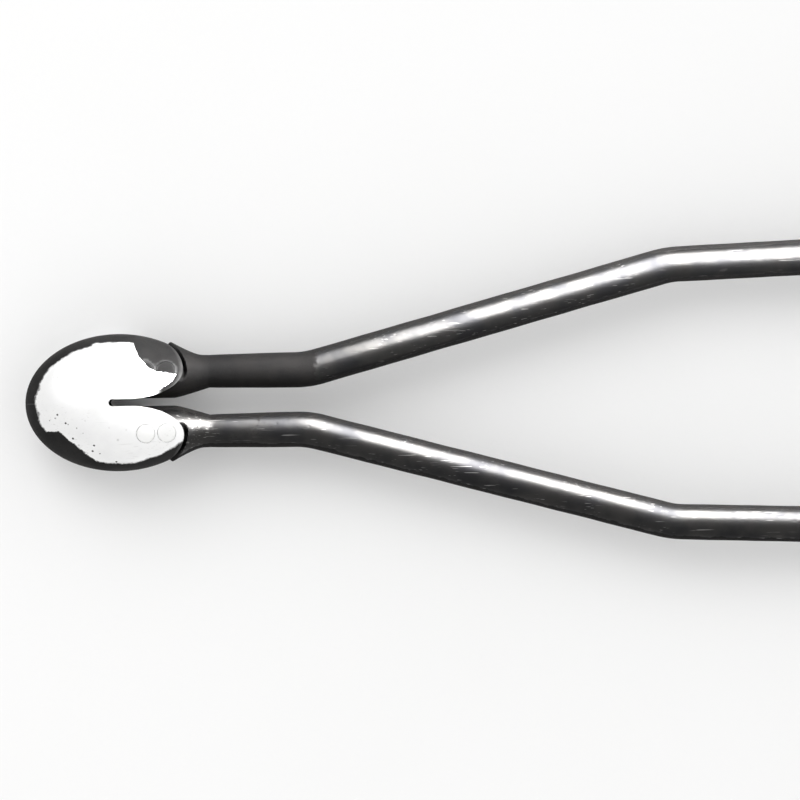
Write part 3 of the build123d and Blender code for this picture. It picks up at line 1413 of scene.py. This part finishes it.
class Finishes:
    """The finishes of the tongs, by the record's material slots."""

    def __init__(self, centre_x: float, mid_z: float, bulb: Bulb, effects: Effects) -> None:
        """Notes where the bow's centre is, so that marks can be placed in mm about it."""
        self.offset = (-centre_x / MM, 0.0, -mid_z / MM)
        self.bulb = bulb
        self.tongue = Tongue()
        self.effects = effects

    def all(self) -> dict[str, bpy.types.Material]:
        """Makes every finish.

        Returns:
            Materials by slot.
        """
        return {
            "spring_steel": self.spring_steel("spring_steel", rivet=False),
            "bow_rivet_steel": self.spring_steel("bow_rivet_steel", rivet=True),
            "rod_steel": self.rod_steel(),
            "jaw_steel": self.jaw_steel("jaw_steel", rivet=False),
            "jaw_rivet_steel": self.jaw_steel("jaw_rivet_steel", rivet=True),
        }

    def start(self, slot: str) -> Surface:
        """Starts a material with its shader and the places that its marks go by."""
        material = bpy.data.materials.new(slot)
        material.use_nodes = True
        desk = NodeDesk(material.node_tree)
        out = desk.add("ShaderNodeOutputMaterial")
        shader = desk.add("ShaderNodeBsdfPrincipled", {"Specular IOR Level": 0.06})
        desk.feed(out.inputs["Surface"], shader.outputs["BSDF"])
        coords = desk.add("ShaderNodeTexCoord").outputs["Object"]
        place = desk.stretched(coords, (1 / MM, 1 / MM, 1 / MM), self.offset)
        split = desk.add("ShaderNodeSeparateXYZ", {0: place}).outputs
        edge = desk.add("ShaderNodeAttribute", attribute_name="edge_wear").outputs["Fac"]
        return Surface(material, desk, shader, place, split["X"], split["Y"], split["Z"], edge)

    def bump(self, surface: Surface, height: object, depth_mm: float) -> None:
        """Feeds a height to the shader's normal.

        Args:
            surface: The material being built.
            height: Height from 0 to 1.
            depth_mm: Depth of a height of 1, in mm.
        """
        node = surface.desk.add(
            "ShaderNodeBump", {"Strength": 1.0, "Distance": depth_mm * MM, "Height": height}
        )
        surface.desk.feed(surface.shader.inputs["Normal"], node.outputs["Normal"])

    def painted_shade_marks(self, s: Surface) -> bpy.types.NodeSocket:
        """Painted shade on the bow, in forge scale's dark tone: a band round its equator, its cut rims and
        two patches.
        """
        desk, bulb = s.desk, self.bulb
        ragged = desk.minus(desk.noise(s.place, 0.55, 5.0, 0.65), 0.5)
        wide = desk.minus(desk.noise(s.place, 0.16, 3.0, 0.5), 0.5)
        level = desk.math("ABSOLUTE", s.z)
        level = desk.plus(level, desk.times(ragged, 1.6))
        level = desk.plus(level, desk.times(wide, 2.2))
        # painted shade: a dark band round the bulb's sides that draws its outline
        equator = desk.ramp(level, 6.5, 5.8)
        inside: object = 0.0
        for axis, size in ((s.x, bulb.half_length), (s.y, bulb.half_width), (s.z, bulb.half_height)):
            share = desk.math("DIVIDE", axis, size)
            inside = desk.plus(inside, desk.times(share, share))
        # painted shade along the cut rims of the slit and the tongues
        rims = desk.ramp(inside, 0.985, 0.955)
        # painted shade on the rear tongue stops along a curve that falls away from the bulb's widest place
        fall = desk.math("EXPONENT", desk.math("DIVIDE", desk.minus(3.7, s.x), 2.9))
        bound = desk.plus(7.0, desk.times(fall, 10.3))
        over = desk.minus(s.y, bound)
        over = desk.plus(over, desk.times(ragged, 2.6))
        tongue = desk.times(desk.ramp(over, -0.2, 0.2), desk.ramp(s.x, 2.6, 3.2))
        # the rear tongue also gets painted shade round its tip
        along = desk.math("DIVIDE", desk.minus(s.x, self.tongue.start), self.tongue.length)
        across = desk.math("DIVIDE", desk.minus(s.y, self.tongue.middle), self.tongue.inner)
        ratio = desk.math("SQRT", desk.plus(desk.times(along, along), desk.times(across, across)))
        ratio = desk.plus(ratio, desk.times(ragged, 0.12))
        tip = desk.times(desk.ramp(ratio, 0.885, 0.905), desk.ramp(s.x, 8.0, 12.0))
        tip = desk.times(tip, desk.ramp(s.y, 0.0, 0.4))
        tongue = desk.math("MAXIMUM", tongue, tip)
        # the lens of painted shade at the back of the front half lies beyond a straight line, below a level
        # one
        beyond = desk.math("MINIMUM", self.beyond_line(s), desk.minus(-7.3, s.y))
        lens = desk.ramp(desk.plus(beyond, desk.times(ragged, 1.5)), -0.15, 0.15)
        marks = desk.math("MAXIMUM", desk.math("MAXIMUM", equator, rims), desk.math("MAXIMUM", tongue, lens))
        return marks

    def beyond_line(self, s: Surface) -> bpy.types.NodeSocket:
        """Distance past the line that bounds the lens of painted shade, in mm."""
        desk = s.desk
        dx = desk.times(desk.plus(s.x, 15.3), -0.636)
        dy = desk.times(desk.plus(s.y, 7.7), -0.772)
        return desk.plus(dx, dy)

    def painted_stipple_shade(self, s: Surface) -> bpy.types.NodeSocket:
        """Dots of painted shade scattered beside the lens of painted shade."""
        desk = s.desk
        beyond = self.beyond_line(s)
        band = desk.times(desk.ramp(beyond, -5.2, -3.4), desk.ramp(beyond, 0.2, -0.6))
        cells = desk.add(
            "ShaderNodeTexVoronoi", {"Vector": s.place, "Scale": 0.52, "Randomness": 0.9}, feature="F1"
        )
        chosen = desk.math("GREATER_THAN", desk.noise(cells.outputs["Position"], 0.7, 1.0), 0.44)
        dot = desk.times(desk.ramp(cells.outputs["Distance"], 0.19, 0.11), chosen)
        return desk.times(dot, band)

    def spring_steel(self, slot: str, rivet: bool) -> bpy.types.Material:
        """Bright dressed spring steel with painted shade in forge scale's dark tone: a band round the bulb's
        sides, the cut rims, the rear tongue and a lens with dots.

        Args:
            slot: Material slot of the record.
            rivet: True for the rivet heads dressed flush with it.

        Returns:
            The material.
        """
        s = self.start(slot)
        desk = s.desk
        grain = desk.group(self.effects.grain, {"Place": s.place, "Lines Per mm": 2.6, "Unevenness": 0.6})
        wear = desk.group(
            self.effects.wear, {"Place": s.place, "Amount": 0.5 if rivet else 0.8, "Scratch Width": 0.035}
        )
        scale = desk.group(
            self.effects.scale, {"Place": s.place, "Cover": 1.0, "Patch Size": 5.0, "Break Up": 0.25}
        )
        # painted shade marks, which take the forge scale's tone and roughness below
        painted_shade_mask = self.painted_shade_marks(s)
        # dots of painted shade, also dented a little into the bump below
        pits = self.painted_stipple_shade(s)
        lines, cloud = grain.outputs["Lines"], grain.outputs["Cloud"]
        if rivet:
            bright, dull = (0.90, 0.90, 0.89, 1), (0.82, 0.82, 0.81, 1)
        else:
            bright, dull = (0.93, 0.93, 0.925, 1), (0.84, 0.84, 0.84, 1)
        tone = desk.mix(desk.ramp(cloud, 0.3, 0.7), dull, bright)
        tone = desk.mix(desk.times(desk.ramp(lines, 0.58, 0.75), 0.22), tone, (0.5, 0.5, 0.5, 1))
        tone = desk.mix(desk.times(wear.outputs["Scratches"], 0.45), tone, (0.45, 0.44, 0.43, 1))
        tone = desk.mix(desk.times(wear.outputs["Dents"], 0.5), tone, (0.35, 0.34, 0.33, 1))
        # painted shade: the dots darken the tone
        tone = desk.mix(pits, tone, (0.05, 0.047, 0.045, 1))
        worn = desk.times(s.edge, desk.ramp(cloud, 0.2, 0.6))
        painted_shade_mask = desk.minus(painted_shade_mask, desk.times(worn, 0.25), clamp=True)
        # painted shade, coloured with the forge scale's tone
        tone = desk.mix(painted_shade_mask, tone, scale.outputs["Tone"])
        rough = desk.ramp(cloud, 0.3, 0.7, 0.34, 0.24)
        rough = desk.plus(rough, desk.times(lines, 0.08))
        rough = desk.blend(desk.math("MAXIMUM", painted_shade_mask, pits), rough, scale.outputs["Roughness"])
        desk.feed(s.shader.inputs["Base Color"], tone)
        desk.feed(s.shader.inputs["Roughness"], rough)
        desk.feed(s.shader.inputs["Metallic"], desk.blend(desk.math("MAXIMUM", painted_shade_mask, pits), 1.0, 0.1))
        planish = desk.add(
            "ShaderNodeTexVoronoi", {"Vector": s.place, "Scale": 0.2, "Smoothness": 0.8}, feature="SMOOTH_F1"
        ).outputs["Distance"]
        height = desk.times(grain.outputs["Height"], 0.10)
        height = desk.plus(height, desk.times(planish, 0.9))
        height = desk.plus(height, desk.times(wear.outputs["Height"], 0.45))
        height = desk.minus(height, desk.times(pits, 0.8))
        height = desk.plus(height, desk.times(desk.times(painted_shade_mask, scale.outputs["Height"]), 0.5))
        self.bump(s, height, 0.07)
        return s.material

    def rod_steel(self) -> bpy.types.Material:
        """Forged rod: black scale at the root, painted shade in the same black down the sides, over the rear
        root and on the roots' inner flat faces, rubbed bright steel along the top.

        Returns:
            The material.
        """
        s = self.start("rod_steel")
        desk = s.desk
        grain = desk.group(self.effects.grain, {"Place": s.place, "Lines Per mm": 3.4, "Unevenness": 0.8})
        wear = desk.group(self.effects.wear, {"Place": s.place, "Amount": 0.9, "Scratch Width": 0.04})
        # forge scale at both roots, and painted shade: the rear root is darkened in full, the front root only
        # in part
        rear = desk.ramp(s.y, -0.5, 0.5)
        root = desk.ramp(s.x, 57.0, 46.0)
        root_scale_and_shade = desk.blend(rear, 0.36, 1.0)
        cover = desk.blend(root, 0.16, root_scale_and_shade)
        level = desk.plus(
            desk.math("ABSOLUTE", s.z), desk.times(desk.minus(desk.noise(s.place, 0.5, 4.0, 0.6), 0.5), 1.8)
        )
        # painted shade: a dark band down the rod's sides that draws its outline
        sides = desk.ramp(level, 3.1, 2.3)
        # painted shade on the roots' inner flat faces, to darken the gap between them
        painted_gap_shade = desk.times(desk.ramp(desk.math("ABSOLUTE", s.y), 2.2, 1.5), desk.ramp(s.x, 21.0, 18.0))
        cover = desk.plus(cover, desk.math("MAXIMUM", sides, painted_gap_shade))
        scale = desk.group(
            self.effects.scale,
            {"Place": s.place, "Cover": cover, "Patch Size": 5.5, "Break Up": 0.42},
        )
        heat = desk.ramp(s.x, 255.0, 420.0, 0.0, 1.0)
        heat = desk.plus(heat, desk.times(desk.minus(desk.noise(s.place, 0.07, 3.0), 0.5), 0.35), clamp=True)
        temper = desk.group(self.effects.colours, {"Heat": heat, "Strength": 0.75})
        lines, cloud = grain.outputs["Lines"], grain.outputs["Cloud"]
        tone = desk.mix(desk.ramp(cloud, 0.3, 0.7), (0.017, 0.017, 0.018, 1), (0.034, 0.033, 0.032, 1))
        tone = desk.mix(desk.times(desk.ramp(lines, 0.56, 0.75), 0.4), tone, (0.013, 0.013, 0.014, 1))
        tint = desk.mix(1.0, tone, temper.outputs["Colour"], "MULTIPLY")
        tone = desk.mix(temper.outputs["Mask"], tone, tint)
        tone = desk.mix(desk.times(wear.outputs["Scratches"], 0.5), tone, (0.24, 0.235, 0.23, 1))
        # the mask holds real scale and the painted shade above
        covered = scale.outputs["Mask"]
        rubbed = desk.times(s.edge, desk.ramp(cloud, 0.3, 0.65))
        covered = desk.minus(covered, desk.times(rubbed, 0.35), clamp=True)
        tone = desk.mix(covered, tone, scale.outputs["Tone"])
        rough = desk.plus(desk.ramp(cloud, 0.3, 0.7, 0.34, 0.24), desk.times(lines, 0.12))
        rough = desk.blend(covered, rough, scale.outputs["Roughness"])
        desk.feed(s.shader.inputs["Base Color"], tone)
        desk.feed(s.shader.inputs["Roughness"], rough)
        desk.feed(s.shader.inputs["Metallic"], desk.blend(covered, 1.0, 0.2))
        height = desk.times(grain.outputs["Height"], 0.15)
        height = desk.plus(height, desk.times(wear.outputs["Height"], 0.4))
        height = desk.plus(height, desk.times(scale.outputs["Height"], 0.7))
        height = desk.plus(height, desk.times(desk.noise(s.place, 0.22, 2.0), 1.2))
        self.bump(s, height, 0.07)
        return s.material

    def jaw_steel(self, slot: str, rivet: bool) -> bpy.types.Material:
        """Steel that has been in the fire: temper colours, thick scale and worn edges.

        Args:
            slot: Material slot of the record.
            rivet: True for the jaws' rivets, which are a little less covered.

        Returns:
            The material.
        """
        s = self.start(slot)
        desk = s.desk
        grain = desk.group(self.effects.grain, {"Place": s.place, "Lines Per mm": 2.2, "Unevenness": 0.5})
        wear = desk.group(self.effects.wear, {"Place": s.place, "Amount": 0.8, "Scratch Width": 0.06})
        cloud = grain.outputs["Cloud"]
        cover = desk.ramp(cloud, 0.3, 0.7, 0.3, 0.55) if rivet else desk.ramp(cloud, 0.3, 0.7, 0.45, 0.85)
        scale = desk.group(
            self.effects.scale,
            {"Place": s.place, "Cover": cover, "Patch Size": 7.0, "Break Up": 0.55},
        )
        heat = desk.plus(0.62, desk.times(desk.minus(desk.noise(s.place, 0.06, 4.0), 0.5), 1.3), clamp=True)
        temper = desk.group(self.effects.colours, {"Heat": heat, "Strength": 0.85})
        ground = desk.ramp(grain.outputs["Lines"], 0.35, 0.7)
        tone = desk.mix(ground, (0.20, 0.192, 0.185, 1), (0.14, 0.134, 0.13, 1))
        tint = desk.mix(0.75, tone, temper.outputs["Colour"], "MULTIPLY")
        tone = desk.mix(temper.outputs["Mask"], tone, tint)
        bare = desk.times(s.edge, desk.ramp(desk.noise(s.place, 0.4, 4.0), 0.35, 0.6))
        covered = desk.minus(scale.outputs["Mask"], desk.times(bare, 0.85), clamp=True)
        tone = desk.mix(covered, tone, scale.outputs["Tone"])
        tone = desk.mix(desk.times(bare, 0.6), tone, (0.42, 0.40, 0.38, 1))
        tone = desk.mix(desk.times(wear.outputs["Scratches"], 0.4), tone, (0.5, 0.48, 0.46, 1))
        rough = desk.blend(covered, desk.ramp(cloud, 0.3, 0.7, 0.34, 0.48), scale.outputs["Roughness"])
        desk.feed(s.shader.inputs["Base Color"], tone)
        desk.feed(s.shader.inputs["Roughness"], rough)
        desk.feed(s.shader.inputs["Metallic"], desk.blend(covered, 1.0, 0.3))
        height = desk.times(scale.outputs["Height"], 0.9)
        height = desk.plus(height, desk.times(grain.outputs["Height"], 0.12))
        height = desk.plus(height, desk.times(wear.outputs["Height"], 0.3))
        self.bump(s, height, 0.09)
        return s.material


def mark_edges(piece: bpy.types.Object, reach_mm: float, gain: float) -> None:
    """Writes how exposed each vertex is, for the wear along convex edges.

    Args:
        piece: The finished piece, in the row frame.
        reach_mm: Edge length at which a bend counts in full, in mm.
        gain: How strongly a bend counts.
    """
    mesh = piece.data
    bend = [0.0] * len(mesh.vertices)
    count = [0] * len(mesh.vertices)
    normals = [item.vector.copy() for item in mesh.vertex_normals]
    for edge in mesh.edges:
        first, second = edge.vertices
        along = mesh.vertices[second].co - mesh.vertices[first].co
        length = along.length
        if length < 1e-7:
            continue
        turn = (normals[second] - normals[first]).dot(along) / length
        share = turn * min(1.0, reach_mm * MM / length)
        for index in (first, second):
            bend[index] += share
            count[index] += 1
    layer = mesh.attributes.new("edge_wear", "FLOAT", "POINT")
    for index, item in enumerate(layer.data):
        on_seam = abs(mesh.vertices[index].co.y) < 0.03 * MM
        item.value = 0.0 if on_seam else min(1.0, max(0.0, gain * bend[index] / max(1, count[index])))


# ---------------------------------------------------------------------------
# Studio
# ---------------------------------------------------------------------------


@dataclass
class Studio:
    """A pale floor, soft light and the camera straight above the bow's end."""

    centre_x: float
    mid_z: float
    view_centre: tuple[float, float] = (0.0742, -0.0006)
    view_width: float = 0.211
    camera_roll: float = -1.0
    lens: float = 500.0
    sensor: float = 36.0
    floor_size: float = 6.0
    floor_drop: float = 0.0003
    world_strength: float = 0.90
    key_size: float = 1.2
    key_energy: float = 8.0
    card_strength: float = 62.0
    card_dim_share: float = 0.3
    card_fade: float = 0.03

    def floor(self) -> None:
        """Lays a pale floor with a fine, uneven surface just under the tongs."""
        Bench.clear()
        bpy.ops.mesh.primitive_plane_add(size=self.floor_size, location=(0, 0, -self.floor_drop))
        floor = Bench.added("floor")
        material = bpy.data.materials.new("pale_floor")
        material.use_nodes = True
        desk = NodeDesk(material.node_tree)
        out = desk.add("ShaderNodeOutputMaterial")
        shader = desk.add("ShaderNodeBsdfPrincipled", {"Roughness": 0.85, "Specular IOR Level": 0.0})
        desk.feed(out.inputs["Surface"], shader.outputs["BSDF"])
        coords = desk.add("ShaderNodeTexCoord").outputs["Object"]
        cloud = desk.noise(coords, 9.0, 3.0, 0.5)
        tone = desk.mix(cloud, (0.885, 0.885, 0.88, 1), (0.92, 0.92, 0.92, 1))
        desk.feed(shader.inputs["Base Color"], tone)
        fibre = desk.noise(coords, 900.0, 3.0, 0.6)
        bump = desk.add("ShaderNodeBump", {"Strength": 0.15, "Distance": 0.0002, "Height": fibre})
        desk.feed(shader.inputs["Normal"], bump.outputs["Normal"])
        floor.data.materials.append(material)
        floor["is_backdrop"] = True

    def sky(self) -> None:
        """Gives even, near-white light from all round."""
        world = bpy.data.worlds.new("studio")
        world.use_nodes = True
        bpy.context.scene.world = world
        desk = NodeDesk(world.node_tree)
        out = desk.add("ShaderNodeOutputWorld")
        light = {"Color": (1.0, 1.0, 1.0, 1), "Strength": self.world_strength}
        glow = desk.add("ShaderNodeBackground", light)
        desk.feed(out.inputs["Surface"], glow.outputs["Background"])

    def key(self) -> None:
        """Hangs one large soft light up and to the rear left."""
        light = bpy.data.lights.new("key", "AREA")
        light.shape, light.energy = "RECTANGLE", self.key_energy
        light.size = light.size_y = self.key_size
        lamp = bpy.data.objects.new("key", light)
        bpy.context.scene.collection.objects.link(lamp)
        lamp.location = (self.centre_x - 0.55, 0.9, 1.25)
        aim = Vector((self.centre_x + 0.1, 0, 0)) - lamp.location
        lamp.rotation_euler = aim.to_track_quat("-Z", "Y").to_euler()
        lamp.visible_camera = False

    def card(self, name: str, corners: Sequence[Point], strength: float) -> None:
        """Stands a card that only shows as a reflection in the metal.

        Args:
            name: Name of the card.
            corners: Its four corners in order, in metres.
            strength: Brightness over the rods; it is dimmer at the bow's end.
        """
        Bench.clear()
        bpy.ops.mesh.primitive_plane_add(size=1)
        card = Bench.added(name)
        for vertex, corner in zip((card.data.vertices[index] for index in (0, 1, 3, 2)), corners):
            vertex.co = Vector(corner)
        material = bpy.data.materials.new(name)
        material.use_nodes = True
        desk = NodeDesk(material.node_tree)
        out = desk.add("ShaderNodeOutputMaterial")
        coords = desk.add("ShaderNodeTexCoord").outputs["Object"]
        x = desk.add("ShaderNodeSeparateXYZ", {0: coords}).outputs["X"]
        dim = self.card_dim_share * strength
        fade = desk.ramp(x, corners[-1][0], corners[0][0] + self.card_fade, dim, strength)
        glow = desk.add("ShaderNodeEmission", {"Color": (1.0, 1.0, 1.0, 1), "Strength": fade})
        desk.feed(out.inputs["Surface"], glow.outputs["Emission"])
        card.data.materials.append(material)
        card.visible_camera = card.visible_diffuse = card.visible_shadow = False
        card.visible_transmission = card.visible_volume_scatter = False
        card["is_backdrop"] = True

    def cards(self) -> None:
        """Hangs a bright card close above the rods' rear side, for the streak along their tops."""
        bow_end, far = self.centre_x + 0.064, 0.30
        inner, outer = (0.035, self.mid_z + 0.12), (0.22, self.mid_z + 0.08)
        self.card(
            "streak_card",
            (
                (bow_end, *inner), (far, *inner),
                (far, *outer), (self.centre_x - 0.006, *outer),
            ),
            self.card_strength,
        )

    def camera(self) -> None:
        """Looks straight down with a long lens, the bow at the left and the rods running right."""
        camera_data = bpy.data.cameras.new("camera")
        camera_data.lens, camera_data.sensor_width = self.lens, self.sensor
        camera = bpy.data.objects.new("camera", camera_data)
        bpy.context.scene.collection.objects.link(camera)
        distance = self.view_width * self.lens / self.sensor
        camera.location = (
            self.centre_x + self.view_centre[0], self.view_centre[1], self.mid_z + distance
        )
        camera.rotation_euler = (0, 0, radians(self.camera_roll))
        camera_data.clip_start, camera_data.clip_end = 0.05, 20
        bpy.context.scene.camera = camera

    def build(self) -> None:
        """Sets everything up."""
        self.floor()
        self.sky()
        self.key()
        self.cards()
        self.camera()
        scene = bpy.context.scene
        scene.view_settings.view_transform = "Standard"
        scene.view_settings.look = "None"


def main() -> None:
    logging.basicConfig(level=logging.INFO, format="%(name)s: %(message)s")
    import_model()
    bulb, arm, jaw = Bulb(), Arm(), Jaw()
    low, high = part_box("spring_bow")
    centre_x = low.x + bulb.half_length * MM
    mid_z = (low.z + high.z) / 2
    spread = radians(arm.end_spread)
    jaw_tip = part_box("rear_jaw")[1].x
    jaw_x = (jaw_tip - centre_x) / MM - jaw.reach(spread)
    splay = arm.second_bend
    shop = Workshop(
        centre_x=centre_x,
        mid_z=mid_z,
        jaw_along=(jaw_x - splay[0]) / cos(spread),
        spread=spread,
        splay=splay,
        finishes=Finishes(centre_x, mid_z, bulb, Effects()).all(),
    )
    SpringBow().build(shop)
    arm.build(shop)
    jaw.build(shop)
    BowRivets().build(shop)
    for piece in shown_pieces():
        mark_edges(piece, 0.5, 1.6)
        LOG.info("%s: %d triangles", piece.name, sum(len(face.vertices) - 2 for face in piece.data.polygons))
    Studio(centre_x, mid_z).build()


if __name__ == "__main__":
    main()
